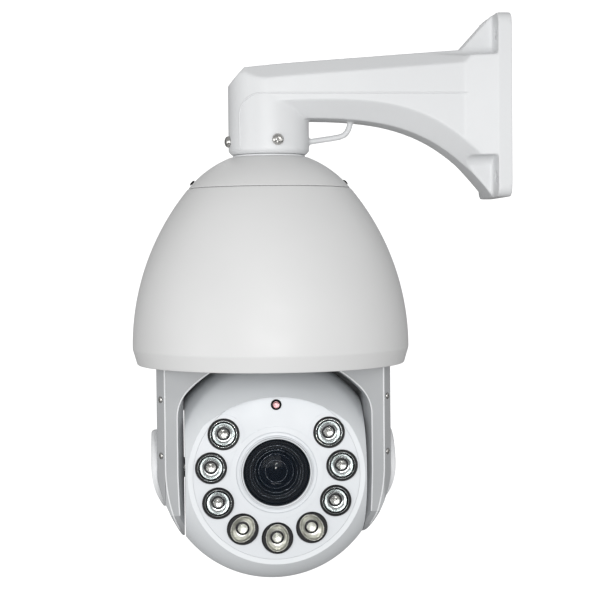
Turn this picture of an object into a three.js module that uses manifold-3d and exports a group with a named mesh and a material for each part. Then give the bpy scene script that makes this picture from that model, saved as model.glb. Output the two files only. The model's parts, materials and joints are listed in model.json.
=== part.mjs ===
import * as THREE from 'three';
import { mergeVertices } from 'three/addons/utils/BufferGeometryUtils.js';
import Module from 'manifold-3d';

const wasm = await Module();
wasm.setup();

// Driving dimensions in millimetres.
// Working space: the pan axis is the line x = 0, y = 0 and the tilt axis is the line y = 0, z = 0.
// The front of the camera looks along -Y, and the wall is on the +X side.
const wallX = 189;
const plateCentreZ = 286;
const ballRadius = 89;
const ballWall = 3;
const ballHalfWidth = 70;
const ballSeamY = 20;
const faceDepth = 57;
const shieldRadius = 110.4;
const shieldArcRadius = 197.2;
const shieldArcZ = 96.4;
const shieldTopZ = 222.1;
const shieldBottomZ = 83.2;
const capTopZ = 246.9;
const headRadius = 32.2;
const headBottomZ = 249;
const armHalfWidth = 32;
const plateThickness = 11;
const plateHalfY = 40;
const plateHalfZ = 72.5;
const yokeInnerX = 70.8;
const yokeSeamX = 85.4;
const yokeOuterX = 91.5;
const yokeHalfDepth = 44;
const yokeEndRadius = 54;
const skirtX = 92;
const skirtTurnZ = 5;
const skirtTurnRadius = 60;
const skirtLean = 23.8;
const capOuterX = 97.2;
const capRadius = 30.5;
const headBoreRadius = 25.6;
const channelRadius = 9;
const channelStartZ = 298;
const channelDrop = 30;
const gap = 0.3;
const wall = 2.5;

const roundSides = 28;
const smallSides = 10;
const screwSides = 8;
const lampSides = 12;
const shieldSides = 36;
const innerSides = 16;

// ---------- finishes ----------
function finish(colour, roughness, metalness) {
  return new THREE.MeshStandardMaterial({ color: colour, roughness, metalness });
}

const finishes = {
  bracketPaint: finish(0xe2e4e5, 0.5, 0),
  shieldPlastic: finish(0xe6e4df, 0.45, 0),
  housingPaint: finish(0xd6d8da, 0.5, 0),
  facePlastic: finish(0xeceef0, 0.4, 0),
  blackPlastic: finish(0x111214, 0.35, 0),
  innerPlastic: finish(0x3a3d40, 0.6, 0),
  aluminium: finish(0xb4b7ba, 0.4, 0.9),
  steel: finish(0xc2c4c6, 0.3, 0.9),
  rubber: finish(0x1c1c1c, 0.8, 0),
  glass: finish(0x10131a, 0.05, 0),
  lampOptic: finish(0xd8dce0, 0.08, 0),
  sensorOptic: finish(0xb88a94, 0.15, 0),
  board: finish(0x1d5a38, 0.55, 0),
};

// ---------- solids ----------
function signedVolume(positions, indices) {
  const corners = [new THREE.Vector3(), new THREE.Vector3(), new THREE.Vector3()];
  let sixTimes = 0;
  for (let i = 0; i < indices.length; i += 3) {
    corners.forEach((corner, k) => corner.fromArray(positions, 3 * indices[i + k]));
    sixTimes += corners[0].dot(corners[1].cross(corners[2]));
  }
  return sixTimes;
}

// Turns a closed three.js geometry into a solid that faces outwards.
function solid(geometry) {
  const bare = geometry.clone();
  ['normal', 'uv'].forEach((name) => bare.deleteAttribute(name));
  const welded = mergeVertices(bare, 1e-4);
  const positions = Float32Array.from(welded.attributes.position.array);
  const source = welded.index.array;
  const kept = [];
  for (let i = 0; i < source.length; i += 3) {
    const [a, b, c] = [source[i], source[i + 1], source[i + 2]];
    if (a !== b && b !== c && c !== a) kept.push(a, b, c);
  }
  if (signedVolume(positions, kept) < 0) kept.reverse();
  const mesh = new wasm.Mesh({ numProp: 3, vertProperties: positions, triVerts: Uint32Array.from(kept) });
  return new wasm.Manifold(mesh);
}

function geometryOf(shape) {
  const mesh = shape.getMesh();
  const geometry = new THREE.BufferGeometry();
  geometry.setAttribute('position', new THREE.Float32BufferAttribute(mesh.vertProperties, 3));
  geometry.setIndex(Array.from(mesh.triVerts));
  geometry.computeVertexNormals();
  return geometry;
}

const sum = (shapes) => shapes.reduce((total, shape) => total.add(shape));
const cut = (body, tools) => tools.reduce((left, tool) => left.subtract(tool), body);

// Points [radius, height] turned about the Z axis. The outline closes on itself or on the axis.
function turned(outline, sides = roundSides) {
  const onAxis = outline[0][0] === 0 && outline[outline.length - 1][0] === 0;
  const closed = onAxis ? outline : [...outline, outline[0]];
  const points = closed.map(([radius, height]) => new THREE.Vector2(radius, height));
  return solid(new THREE.LatheGeometry(points, sides).rotateX(Math.PI / 2));
}

// The same, turned about the X axis: heights run along +X.
function turnedAboutX(outline, sides = roundSides) {
  return turned(outline, sides).rotate([0, 90, 0]);
}

// The same, turned about the Y axis: heights run towards the front, along -Y.
function turnedAboutY(outline, sides = roundSides) {
  return turned(outline, sides).rotate([90, 0, 0]);
}

function rod(radius, low, high, sides = roundSides) {
  return turned([[0, low], [radius, low], [radius, high], [0, high]], sides);
}

function tube(inner, outer, low, high, sides = roundSides) {
  return turned([[inner, low], [outer, low], [outer, high], [inner, high]], sides);
}

function block(low, high) {
  const size = high.map((value, k) => value - low[k]);
  const middle = high.map((value, k) => (value + low[k]) / 2);
  return solid(new THREE.BoxGeometry(...size).translate(...middle));
}

function arcPoints(centre, radius, fromDeg, toDeg, count) {
  return Array.from({ length: count + 1 }, (_, k) => {
    const angle = THREE.MathUtils.degToRad(fromDeg + ((toDeg - fromDeg) * k) / count);
    return [centre[0] + radius * Math.cos(angle), centre[1] + radius * Math.sin(angle)];
  });
}

function extruded(outline, depth) {
  const shape = new THREE.Shape(outline.map(([a, b]) => new THREE.Vector2(a, b)));
  return solid(new THREE.ExtrudeGeometry(shape, { depth, bevelEnabled: false }));
}

// An outline in (y, z), pushed along +X from x = low to x = high.
function pushedAlongX(outline, low, high) {
  return extruded(outline, high - low).rotate([90, 0, 90]).translate([low, 0, 0]);
}

// An outline in (x, z), pushed along Y between y = low and y = high.
function pushedAlongY(outline, low, high) {
  return extruded(outline, high - low).rotate([90, 0, 0]).translate([0, high, 0]);
}

// Skins a run of closed sections that all have the same number of points.
function skinned(sections) {
  const count = sections[0].length;
  const positions = sections.flat(2);
  const indices = [];
  sections.slice(1).forEach((_, row) => {
    for (let k = 0; k < count; k += 1) {
      const a = row * count + k;
      const b = row * count + ((k + 1) % count);
      indices.push(a, b, b + count, a, b + count, a + count);
    }
  });
  const last = (sections.length - 1) * count;
  for (let k = 1; k < count - 1; k += 1) {
    indices.push(0, k + 1, k, last, last + k, last + k + 1);
  }
  const geometry = new THREE.BufferGeometry();
  geometry.setAttribute('position', new THREE.Float32BufferAttribute(positions, 3));
  geometry.setAttribute('normal', new THREE.Float32BufferAttribute(positions.map(() => 0), 3));
  geometry.setAttribute('uv', new THREE.Float32BufferAttribute(new Array((positions.length / 3) * 2).fill(0), 2));
  geometry.setIndex(indices);
  return solid(geometry);
}

// A round bar swept along smooth points.
function sweptBar(points, radius, sides, steps) {
  const path = new THREE.CatmullRomCurve3(points.map((point) => new THREE.Vector3(...point)));
  const ring = new THREE.Shape(arcPoints([0, 0], radius, 0, 360, sides).slice(0, -1).map(
    ([a, b]) => new THREE.Vector2(a, b),
  ));
  return solid(new THREE.ExtrudeGeometry(ring, { steps, extrudePath: path, bevelEnabled: false }));
}

function roundedRectangle(halfA, halfB, radius, steps) {
  const corners = [[1, 1, 0], [-1, 1, 90], [-1, -1, 180], [1, -1, 270]];
  return corners.flatMap(([signA, signB, start]) => arcPoints(
    [signA * (halfA - radius), signB * (halfB - radius)], radius, start, start + 90, steps,
  ));
}

const mirrored = (shape) => shape.mirror([1, 0, 0]);

// ---------- wall bracket ----------
const plateFrontX = wallX - plateThickness;
const boltHalfY = 29;
const boltHalfZ = 56;
const boltRadius = 4.2;

const plateCornerRadius = 9;
const flareStartX = 153;
const flareStartZ = 331;
const nosePeakX = -20;
const nosePeakZ = 317;
const noseSlope = 1.08;
const shoulderX = 9.5;
const shoulderZ = 320;
const shoulderSlope = 0.1;
const armSlope = 0.076;
const armFlatZ = 277;
const archPower = 3.8;
const topChamfer = 11.5;

function armTop(x) {
  if (x < nosePeakX) return nosePeakZ + (x - nosePeakX) * noseSlope;
  if (x < shoulderX) return nosePeakZ + (x - nosePeakX) * shoulderSlope;
  if (x < flareStartX) return shoulderZ + (x - shoulderX) * armSlope;
  const flare = (x - flareStartX) / (plateFrontX - flareStartX);
  return flareStartZ + flare * (plateCentreZ + plateHalfZ - flareStartZ);
}

function armBottom(x) {
  const sweep = Math.max(x, 0) / plateFrontX;
  return armFlatZ - (armFlatZ - plateCentreZ + plateHalfZ) * sweep ** archPower;
}

function armSection(x) {
  const flare = Math.max(0, (x - flareStartX) / (plateFrontX - flareStartX));
  const half = armHalfWidth + flare * (plateHalfY - armHalfWidth);
  const bottomChamfer = 12.5 + (5.5 * Math.max(x, 0)) / plateFrontX;
  const high = armTop(x);
  const low = armBottom(x);
  return [
    [x, half - topChamfer, high],
    [x, topChamfer - half, high],
    [x, -half, high - topChamfer],
    [x, -half, low + bottomChamfer],
    [x, bottomChamfer - half, low],
    [x, half - bottomChamfer, low],
    [x, half, low + bottomChamfer],
    [x, half, high - topChamfer],
  ];
}

// The arm's outline from above: a half round at the head, straight sides to the wall.
function armPlan() {
  const side = plateHalfY + 5;
  const outline = [
    ...arcPoints([0, 0], headRadius, 90, 270, 16), [0, -side], [wallX, -side], [wallX, side], [0, side],
  ];
  return extruded(outline, 200).translate([0, 0, 200]);
}

// The corner recesses leave a rib down the middle and a ledge above and below.
function boltPocket(signY, signZ) {
  const ribHalf = 18.5;
  const ledge = 39.5;
  const half = 30;
  return pushedAlongX(roundedRectangle(half, half, plateCornerRadius, 3), 120, plateFrontX)
    .translate([0, signY * (ribHalf + half), plateCentreZ + signZ * (ledge + half)]);
}

const boltHole = (signY, signZ) => rod(boltRadius, 0, 30, smallSides)
  .rotate([0, 90, 0]).translate([plateFrontX - 10, signY * boltHalfY, plateCentreZ + signZ * boltHalfZ]);

function cableChannel() {
  const lean = THREE.MathUtils.radToDeg(Math.atan2(channelDrop, wallX));
  return rod(channelRadius, -4, 210, 16).rotate([0, 90 + lean, 0]).translate([0, 0, channelStartZ]);
}

const lockHole = (angle) => rod(2.8, 20, 40, smallSides)
  .rotate([90, 0, 0]).translate([0, 0, lockScrewZ]).rotate([0, 0, angle]);

function wallBracket() {
  const stations = [-33, -20, 9.5, 40, 70, 95, 115, 132, 145, 153, 162, 171, plateFrontX + 0.5];
  const arm = skinned(stations.map(armSection)).intersect(armPlan());
  const head = turned([
    [0, headBottomZ], [headRadius - 3, headBottomZ], [headRadius, headBottomZ + 3],
    [headRadius, 290], [0, 290],
  ]);
  const plate = pushedAlongX(roundedRectangle(plateHalfY, plateHalfZ, plateCornerRadius, 4), plateFrontX, wallX)
    .translate([0, 0, plateCentreZ]);
  const loop = sweptBar(
    [[28, 0, 259], [44, 0, 261.4], [57, 0, 263.4], [64, 0, 267.5], [66, 0, 279]], 2.4, 8, 9,
  );
  const corners = [[1, 1], [1, -1], [-1, 1], [-1, -1]];
  return cut(sum([arm, head, plate, loop]), [
    ...corners.map((signs) => boltPocket(...signs)),
    ...corners.map((signs) => boltHole(...signs)),
    ...lockAngles.map(lockHole),
    rod(headBoreRadius, 240, 290),
    cableChannel(),
  ]);
}

// ---------- neck, lock screws, cap, sunshield, housing ----------
const lockScrewZ = 259.5;
const lockAngles = [9, 189, 279];

function neckAdapter() {
  return turned([
    [19, capTopZ + 0.2], [28.8, capTopZ + 0.2], [28.8, 248.6], [25.2, 248.6],
    [25.2, 280], [19, 280],
  ], 24);
}

// A button-head screw along +Z, seated at height zero, with a socket in its head.
function buttonScrew(headR, headHeight, shankR, length) {
  const body = turned([
    [0, -length], [shankR, -length], [shankR, 0], [headR, 0],
    [headR * 0.8, headHeight * 0.75], [headR * 0.45, headHeight], [0, headHeight],
  ], screwSides);
  const socket = rod(headR * 0.36, headHeight * 0.35, headHeight + 1, 6);
  return body.subtract(socket);
}

function lockScrew(angle) {
  return buttonScrew(4.6, 3.6, 2.5, 6.5).rotate([90, 0, 0])
    .translate([0, -(headRadius + 0.1), lockScrewZ]).rotate([0, 0, angle]);
}

function shieldRadiusAt(z, inset = 0) {
  const centreR = shieldRadius - shieldArcRadius;
  return centreR + Math.sqrt((shieldArcRadius - inset) ** 2 - (z - shieldArcZ) ** 2);
}

function shieldProfile(inset, lowZ, highZ, steps) {
  return Array.from({ length: steps + 1 }, (_, k) => {
    const z = lowZ + ((highZ - lowZ) * k) / steps;
    return [shieldRadiusAt(z, inset), z];
  });
}

function topCap() {
  const dome = (thickness, count) => arcPoints([1.1, 170.7], 82 - thickness, 39.5, 68.2, count);
  const outside = [[64.3, shieldTopZ + gap], ...dome(0, 4), [30, capTopZ]];
  const inside = [[19.5, capTopZ], [19.5, capTopZ - 4], ...dome(wall, 3).reverse(), [61, shieldTopZ + gap]];
  const body = turned([...outside, ...inside]);
  const holes = [0, 180].map((angle) => capScrewHole(angle));
  return cut(body, holes);
}

const capScrewZ = 227;
const capScrewLean = 44;

function placeCapScrew(shape, angle) {
  return shape.rotate([0, 90 - capScrewLean, 0]).translate([61.1, 0, capScrewZ]).rotate([0, 0, angle]);
}

const capScrewHole = (angle) => placeCapScrew(rod(1.9, -9, 9, 12), angle);
const capScrew = (angle) => placeCapScrew(buttonScrew(2.6, 1.4, 1.6, 5), angle);

function sunshield() {
  const outside = shieldProfile(0, 95.5, shieldTopZ, 6);
  const inside = shieldProfile(wall, 96.5, shieldTopZ - wall, 4).reverse();
  return turned([
    [104.4, shieldBottomZ], [106.8, shieldBottomZ], ...outside,
    [54, shieldTopZ], [54, shieldTopZ - wall], ...inside,
  ], shieldSides);
}

const housingInset = 9.4;
const housingBottomZ = 106;
const housingTopZ = 219.2;
const deckLowZ = 152;
const deckHighZ = 155;

function innerHousing() {
  const outside = shieldProfile(housingInset, housingBottomZ, 212, 4);
  const insideLow = shieldProfile(housingInset + wall, housingBottomZ, deckLowZ, 2).reverse();
  const insideHigh = shieldProfile(housingInset + wall, deckHighZ, 210, 2).reverse();
  return turned([
    ...outside, [52, housingTopZ], [19.5, housingTopZ], [19.5, housingTopZ - wall], [50, housingTopZ - wall],
    ...insideHigh, [6.6, deckHighZ], [6.6, deckLowZ], ...insideLow,
  ]);
}

function baseRing() {
  return turned([
    [97.6, 96.5], [101, 96.5], [101, housingBottomZ - gap], [91, housingBottomZ - gap],
    [91, 103], [97.6, 103],
  ]);
}

// ---------- pan drive ----------
const beltLowZ = 138;
const beltHighZ = 144;
const panPulleyRadius = 30;
const motorPulleyRadius = 8;
const panMotorY = 62;
const deckPlateTopZ = 100;

function panShaft() {
  return turned([
    [6, 108.5], [10, 108.5], [10, 149], [20, 149], [20, deckLowZ - gap], [6, deckLowZ - gap],
  ], innerSides);
}

function slipRingStator() {
  return turned([
    [0, 110.5], [5.6, 110.5], [5.6, deckHighZ + gap], [10, deckHighZ + gap], [10, 158.5], [0, 158.5],
  ], 14);
}

function slipRingRotor() {
  return turned([[0, 96], [6, 96], [6, 99], [12.4, 99], [12.4, 101.5], [5, 101.5], [5, 110], [0, 110]], 14);
}

// A flanged belt wheel about +Z between the two heights, with a bore.
function beltWheel(radius, bore, low, high, sides) {
  const flange = 1.2;
  const lip = 0.8;
  return turned([
    [bore, low - lip], [radius + flange, low - lip], [radius + flange, low], [radius, low],
    [radius, high], [bore, high],
  ], sides);
}

// A flat belt in the XY plane round two wheels: one at the centre, one at y = distance.
function belt(firstRadius, secondRadius, distance, low, high) {
  const loopOutline = (extra) => {
    const lean = THREE.MathUtils.radToDeg(Math.asin((firstRadius - secondRadius) / distance));
    return [
      ...arcPoints([0, 0], firstRadius + extra, 180 - lean, 360 + lean, 14),
      ...arcPoints([0, distance], secondRadius + extra, lean, 180 - lean, 6),
    ];
  };
  const clearance = 0.6;
  const thickness = 1.3;
  const ring = extruded(loopOutline(clearance + thickness), high - low)
    .subtract(extruded(loopOutline(clearance), high - low + 2).translate([0, 0, -1]));
  return ring.translate([0, 0, low]);
}

// A square motor with clipped corners: shaft along +Z, front face at height zero.
function motor(width, length, shaftLength) {
  const clip = 4;
  const half = width / 2;
  const outline = [
    [half, half - clip], [half - clip, half], [clip - half, half], [-half, half - clip],
    [-half, clip - half], [clip - half, -half], [half - clip, -half], [half, clip - half],
  ];
  const boss = rod(11, -0.5, 1.6, 12);
  const shaft = rod(2.4, 0, shaftLength, 8);
  return sum([extruded(outline, length).translate([0, 0, -length]), boss, shaft]);
}

const motorTopZ = deckPlateTopZ + 0.2 + 34;

const panMotor = () => motor(35, 34, beltHighZ + 2 - motorTopZ).translate([0, panMotorY, motorTopZ]);
const panMotorPulley = () => beltWheel(motorPulleyRadius, 2.6, beltLowZ, beltHighZ, 14)
  .translate([0, panMotorY, 0]);

// ---------- yoke ----------
const yokeTopZ = 93.2;
const tiltBeltLowX = 78;
const tiltBeltHighX = 81.8;
const armPocketWall = 2;
const tiltPulleyRadius = 22;
const tiltMotorZ = deckPlateTopZ + 0.2 + 17.5;
const shaftRadius = 8;
const bearingRadius = 14;
const chamferX = yokeOuterX - yokeSeamX;
const chamferY = 8;
const capGrowth = 4.4;
const innerChamferX = 4.9;
const innerChamferY = 9;

// The side outline of an arm in (y, z), shrunk by an inset except at its flat top.
function armOutline(inset, top) {
  const half = yokeHalfDepth - inset;
  const radius = yokeEndRadius - inset;
  const start = THREE.MathUtils.radToDeg(Math.acos(half / radius));
  return [[-half, top], ...arcPoints([0, 0], radius, 180 + start, 360 - start, 10), [half, top]];
}

// The yoke seen from the front: upright sides that turn inwards below the tilt axis.
function skirt(growth = 0) {
  const radius = skirtTurnRadius + growth;
  const turn = arcPoints([skirtX - skirtTurnRadius, skirtTurnZ], radius, 0, -skirtLean, 4);
  const [endX, endZ] = turn[turn.length - 1];
  const lowZ = -80;
  const lowX = endX - (endZ - lowZ) * Math.tan(THREE.MathUtils.degToRad(skirtLean));
  const half = [[skirtX + growth, 140], ...turn, [lowX, lowZ]];
  const otherHalf = half.map(([x, z]) => [-x, z]).reverse();
  return pushedAlongY([...half, ...otherHalf], -60, 60);
}

// Clips the long inner corner at the front of both arms.
function innerChamfers() {
  const past = 5;
  const wedge = [
    [yokeInnerX - 1, innerChamferY + innerChamferY / innerChamferX - yokeHalfDepth],
    [yokeInnerX + innerChamferX, -yokeHalfDepth],
    [yokeInnerX + innerChamferX, -yokeHalfDepth - past],
    [yokeInnerX - 1, -yokeHalfDepth - past],
  ];
  const topZ = 53;
  const front = extruded(wedge, 100 + topZ).translate([0, 0, -100]);
  return [front, mirrored(front)];
}

// The room that the ball turns in. Behind the tilt axis its top follows the ball.
function ballClearance() {
  const radius = ballRadius + 3.5;
  const mouthX = 40;
  const toAngle = (x) => THREE.MathUtils.radToDeg(Math.acos(x / radius));
  const side = arcPoints([0, 0], radius, toAngle(yokeInnerX), toAngle(mouthX), 5);
  const half = [[yokeInnerX, -70], ...side, [mouthX, yokeTopZ + 1]];
  const otherHalf = half.map(([x, z]) => [-x, z]).reverse();
  const passage = pushedAlongY([...half, ...otherHalf], -70, 70);
  const ball = turned([[0, -radius], ...arcPoints([0, 0], radius, -75, 75, 8), [0, radius]])
    .intersect(block([-yokeInnerX, -100, -100], [yokeInnerX, 100, 100]));
  return passage.subtract(block([-80, 0, 20], [80, 80, 120])).add(ball);
}

function yoke() {
  const turntable = rod(96, yokeTopZ + 0.8, deckPlateTopZ);
  const hub = rod(22, yokeTopZ + 0.8, 121, 20);
  const armBlock = pushedAlongX(armOutline(0, yokeTopZ + 1), 0.2 - yokeSeamX, yokeSeamX - 0.2)
    .intersect(skirt());
  const pocket = pushedAlongX(armOutline(3.5, yokeTopZ - 3), yokeInnerX + 3.5, yokeSeamX + 1)
    .intersect(skirt(-armPocketWall));
  const bearingSeat = rod(bearingRadius + gap, 70, 80, innerSides).rotate([0, 90, 0]);
  const beltSlot = block(
    [tiltBeltLowX - 1.2, -13.5, yokeTopZ - 6], [tiltBeltHighX + 1.5, 13.5, deckPlateTopZ + 1],
  );
  const wireHole = rod(13, 90, 125, innerSides);
  const panSeat = rod(16.4, 110.6, 125, innerSides);
  const sides = [pocket, mirrored(pocket), bearingSeat, mirrored(bearingSeat)];
  const arms = cut(armBlock, [ballClearance(), ...innerChamfers(), ...sides]);
  return cut(sum([arms, turntable, hub]), [beltSlot, wireHole, panSeat]);
}

function placeCoverScrew(shape, z) {
  const lean = THREE.MathUtils.radToDeg(Math.atan2(chamferY, chamferX));
  return shape.rotate([0, 90, 0]).rotate([0, 0, lean - 90])
    .translate([yokeSeamX + chamferX / 2, -(yokeHalfDepth - chamferY / 2), z]);
}

const coverScrewHeights = [58.5, 15];
const coverScrew = (z) => placeCoverScrew(buttonScrew(2.3, 0.9, 1.3, 5), z);

function sideCover() {
  const ring = (inset, x, top) => armOutline(inset, top).map(([y, z]) => [x, y, z]);
  const topZ = yokeTopZ - 0.2;
  const shell = skinned([ring(0, yokeSeamX, topZ), ring(chamferY, yokeOuterX, topZ)]).intersect(skirt());
  const hollowTopZ = yokeTopZ - 3;
  const hollow = skinned([
    ring(3.6, yokeSeamX - 1, hollowTopZ), ring(chamferY + 2, yokeOuterX - wall, hollowTopZ),
  ]).intersect(skirt(-wall));
  const holes = coverScrewHeights.map((z) => placeCoverScrew(rod(1.6, -8, 4, 12), z));
  const capHole = rod(6.3, 80, 100, 20).rotate([0, 90, 0]);
  return cut(shell, [hollow, ...holes, capHole]);
}

// A round cap that follows the cover's slope, with a boss that plugs into the cover.
function bearingCap() {
  const innerX = yokeOuterX + 0.1;
  const disc = turnedAboutX([
    [0, 80], [capRadius, 80], [capRadius, capOuterX - 2.5], [capRadius - 2.5, capOuterX - 0.4], [0, capOuterX],
  ], 30).intersect(skirt(capGrowth));
  const cover = skirt(gap).intersect(block([70, -60, -110], [innerX, 60, 140]));
  const boss = rod(6, 86.5, innerX + 1, 16).rotate([0, 90, 0]);
  return disc.subtract(cover).add(boss);
}

const tiltBearing = () => turnedAboutX([
  [shaftRadius + gap, 73.9], [bearingRadius, 73.9], [bearingRadius, 76.8], [shaftRadius + gap, 76.8],
], innerSides);

const tiltMotor = () => motor(35, 34, 85 - 70).rotate([0, 90, 0]).translate([70, 0, tiltMotorZ]);
const tiltMotorPulley = () => beltWheel(motorPulleyRadius, 2.6, tiltBeltLowX, tiltBeltHighX, 14)
  .rotate([0, 90, 0]).translate([0, 0, tiltMotorZ]);
const tiltPulley = () => beltWheel(tiltPulleyRadius, shaftRadius + 0.3, tiltBeltLowX, tiltBeltHighX, innerSides)
  .rotate([0, 90, 0]);
const tiltBelt = () => belt(tiltPulleyRadius, motorPulleyRadius, tiltMotorZ, 0, tiltBeltHighX - tiltBeltLowX)
  .rotate([90, 0, 90]).translate([tiltBeltLowX, 0, 0]);

// ---------- ball ----------
const browRadius = 82.1;
const browCentreZ = -20.6;

function ballSolid(inset) {
  const radius = ballRadius - inset;
  const rimAngle = THREE.MathUtils.radToDeg(Math.asin(faceDepth / radius));
  const front = arcPoints([0, 0], radius, 90, rimAngle, 3).slice(1);
  const rear = arcPoints([0, 0], radius, rimAngle, -90, 9).slice(1, -1);
  const ball = turnedAboutY([[0, radius], ...front, ...rear, [0, -radius]]);
  const half = ballHalfWidth - (inset > 0 ? wall : 0);
  return ball.intersect(block([-half, -100, -100], [half, 100, 100]));
}

function ballShell() {
  const shaftHoles = rod(shaftRadius + gap, -80, 80, innerSides).rotate([0, 90, 0]);
  const facePocket = turnedAboutY([
    [0, faceDepth], [browRadius, faceDepth], [browRadius, 100], [0, 100],
  ], 36).translate([0, 0, browCentreZ]);
  return cut(ballSolid(0), [ballSolid(ballWall), shaftHoles, facePocket]);
}

const ballFrontShell = () => ballShell().intersect(block([-100, -100, -100], [100, ballSeamY, 100]));
const ballRearShell = () => ballShell().intersect(block([-100, ballSeamY + gap, -100], [100, 100, 100]));

// ---------- face and lamps ----------
const lampRing = 50.6;
const lampAngles = Array.from({ length: 9 }, (_, k) => (k - 4) * 31.7);
const faceBack = 54;
const windowRadius = 27;
const lensAxisZ = 2.6;
const sensorZ = lensAxisZ + 52.3;

const onLensAxis = (shape) => shape.translate([0, 0, lensAxisZ]);

// Moves a shape from the tilt axis to a lamp's seat round the lens axis. Zero is straight down.
function atLamp(shape, angleDeg) {
  const angle = THREE.MathUtils.degToRad(angleDeg);
  return shape.translate([lampRing * Math.sin(angle), 0, lensAxisZ - lampRing * Math.cos(angle)]);
}

function facePlate() {
  const disc = turnedAboutY([[0, faceBack], [63.7, faceBack], [63.7, faceDepth], [0, faceDepth]]);
  const groove = turnedAboutY([
    [28.6, faceDepth - 0.7], [30.4, faceDepth - 0.7], [31, faceDepth + 1], [28, faceDepth + 1],
  ]);
  const hole = (radius, sides) => turnedAboutY([[0, 40], [radius, 40], [radius, 70], [0, 70]], sides);
  const lampHoles = lampAngles.map((angle) => atLamp(hole(12.3, lampSides), angle));
  const sensorHole = hole(4.2, smallSides).translate([0, 0, sensorZ]);
  return cut(disc, [onLensAxis(hole(windowRadius + gap, 28)), onLensAxis(groove), sensorHole, ...lampHoles]);
}

const frontWindow = () => onLensAxis(turnedAboutY([
  [0, 54.4], [windowRadius, 54.4], [windowRadius, 57.3], [0, 57.3],
], 28));

function lampCarrier() {
  const plate = onLensAxis(turnedAboutY([[30.6, 51.6], [62, 51.6], [62, 53.7], [30.6, 53.7]]));
  const collars = lampAngles.map((angle) => atLamp(turnedAboutY([
    [8, 52.6], [11.9, 52.6], [11.9, 57.8], [8, 57.8],
  ], lampSides), angle));
  const seats = lampAngles.map((angle) => atLamp(turnedAboutY([
    [0, 50], [9.9, 50], [9.9, 60], [0, 60],
  ], lampSides), angle));
  const sensorSeat = turnedAboutY([[0, 50], [3.4, 50], [3.4, 60], [0, 60]], smallSides)
    .translate([0, 0, sensorZ]);
  return cut(sum([plate, ...collars]), [...seats, sensorSeat]);
}

const lampLens = (angle) => atLamp(turnedAboutY([
  [0, 51.2], [6.5, 51.2], [9.5, 54.5], [9.5, 57], [4.3, 53.4], [3, 55.9], [0, 56.5],
], lampSides), angle);

const lightSensor = () => turnedAboutY([
  [0, 51.2], [3, 51.2], [3, 54.2], [3.9, 54.2], [3.9, 57.3], [2.8, 57.4], [0, 57.9],
], smallSides).translate([0, 0, sensorZ]);

const ledBoard = () => onLensAxis(turnedAboutY([
  [30.6, 49.2], [61, 49.2], [61, 50.8], [30.6, 50.8],
], innerSides));

// ---------- zoom camera in the ball ----------
const barrelBack = 8;

const lensBarrel = () => onLensAxis(turnedAboutY([
  [19, barrelBack], [22.5, barrelBack], [22.5, 52.5], [19, 52.5],
], innerSides));

function cameraChassis() {
  const body = block([-27, -barrelBack + gap, -30], [27, 48, 30]);
  const cavity = block([-24.5, -barrelBack + 3, -27.5], [24.5, 45.5, 27.5]);
  const mouth = turnedAboutY([[0, -10], [18.6, -10], [18.6, 20], [0, 20]], 28);
  return onLensAxis(cut(body, [cavity, mouth]));
}

const zoomGroup = () => onLensAxis(turnedAboutY([
  [0, 37], [14, 36], [14, 33.5], [18.5, 33.5], [18.5, 41], [14, 41], [0, 44],
], innerSides));

const focusGroup = () => onLensAxis(turnedAboutY([
  [0, 14.5], [18.4, 14.5], [18.4, 20], [11, 20], [0, 21.5],
], innerSides));

const sensorBoard = () => onLensAxis(block([-20, 40, -20], [20, 41.6, 20]));

const tiltShaft = (endX) => turnedAboutX([
  [0, 64.6], [16, 64.6], [16, ballHalfWidth - wall - gap], [shaftRadius, ballHalfWidth - wall - gap],
  [shaftRadius, endX], [0, endX],
], innerSides);

// ---------- electronics and cable in the fixed part ----------
const mainBoard = () => tube(12, 72, 160, 161.6, innerSides);

// Rises through the neck, then runs down the middle of the channel to the wall.
function cableHarness() {
  const channelZ = (x) => channelStartZ - (channelDrop * x) / wallX;
  const rise = [[0, 0, 172], [0, 0, 215], [0, 0, 262], [6, 0, 283], [22, 0, channelZ(22) - 2]];
  const run = [60, 120, 182].map((x) => [x, 0, channelZ(x)]);
  return sweptBar([...rise, ...run], 6, 8, 16);
}

// ---------- assembly ----------
const assembly = new THREE.Group();
assembly.name = 'ptz_camera';

function add(name, shape, material) {
  const geometry = geometryOf(shape).translate(-wallX, 0, -plateCentreZ);
  const mesh = new THREE.Mesh(geometry, material);
  mesh.name = name;
  assembly.add(mesh);
}

add('wall_bracket', wallBracket(), finishes.bracketPaint);
add('neck_adapter', neckAdapter(), finishes.aluminium);
lockAngles.forEach((angle, k) => add(`lock_screw_${k + 1}`, lockScrew(angle), finishes.steel));
add('top_cap', topCap(), finishes.shieldPlastic);
[180, 0].forEach((angle, k) => add(`cap_screw_${k + 1}`, capScrew(angle), finishes.blackPlastic));
add('sunshield', sunshield(), finishes.shieldPlastic);
add('inner_housing', innerHousing(), finishes.housingPaint);
add('base_ring', baseRing(), finishes.innerPlastic);
add('main_board', mainBoard(), finishes.board);
add('cable_harness', cableHarness(), finishes.rubber);

add('pan_shaft', panShaft(), finishes.steel);
add('fixed_pan_pulley', beltWheel(panPulleyRadius, 10.4, beltLowZ, beltHighZ, 20), finishes.aluminium);
add('slip_ring_stator', slipRingStator(), finishes.innerPlastic);
add('slip_ring_rotor', slipRingRotor(), finishes.aluminium);
add('pan_bearing', tube(10.3, 16, 111, 119, innerSides), finishes.steel);
add('pan_motor', panMotor(), finishes.innerPlastic);
add('pan_motor_pulley', panMotorPulley(), finishes.aluminium);
add('pan_belt', belt(panPulleyRadius, motorPulleyRadius, panMotorY, beltLowZ + 0.4, beltHighZ - 0.4),
  finishes.rubber);

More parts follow.
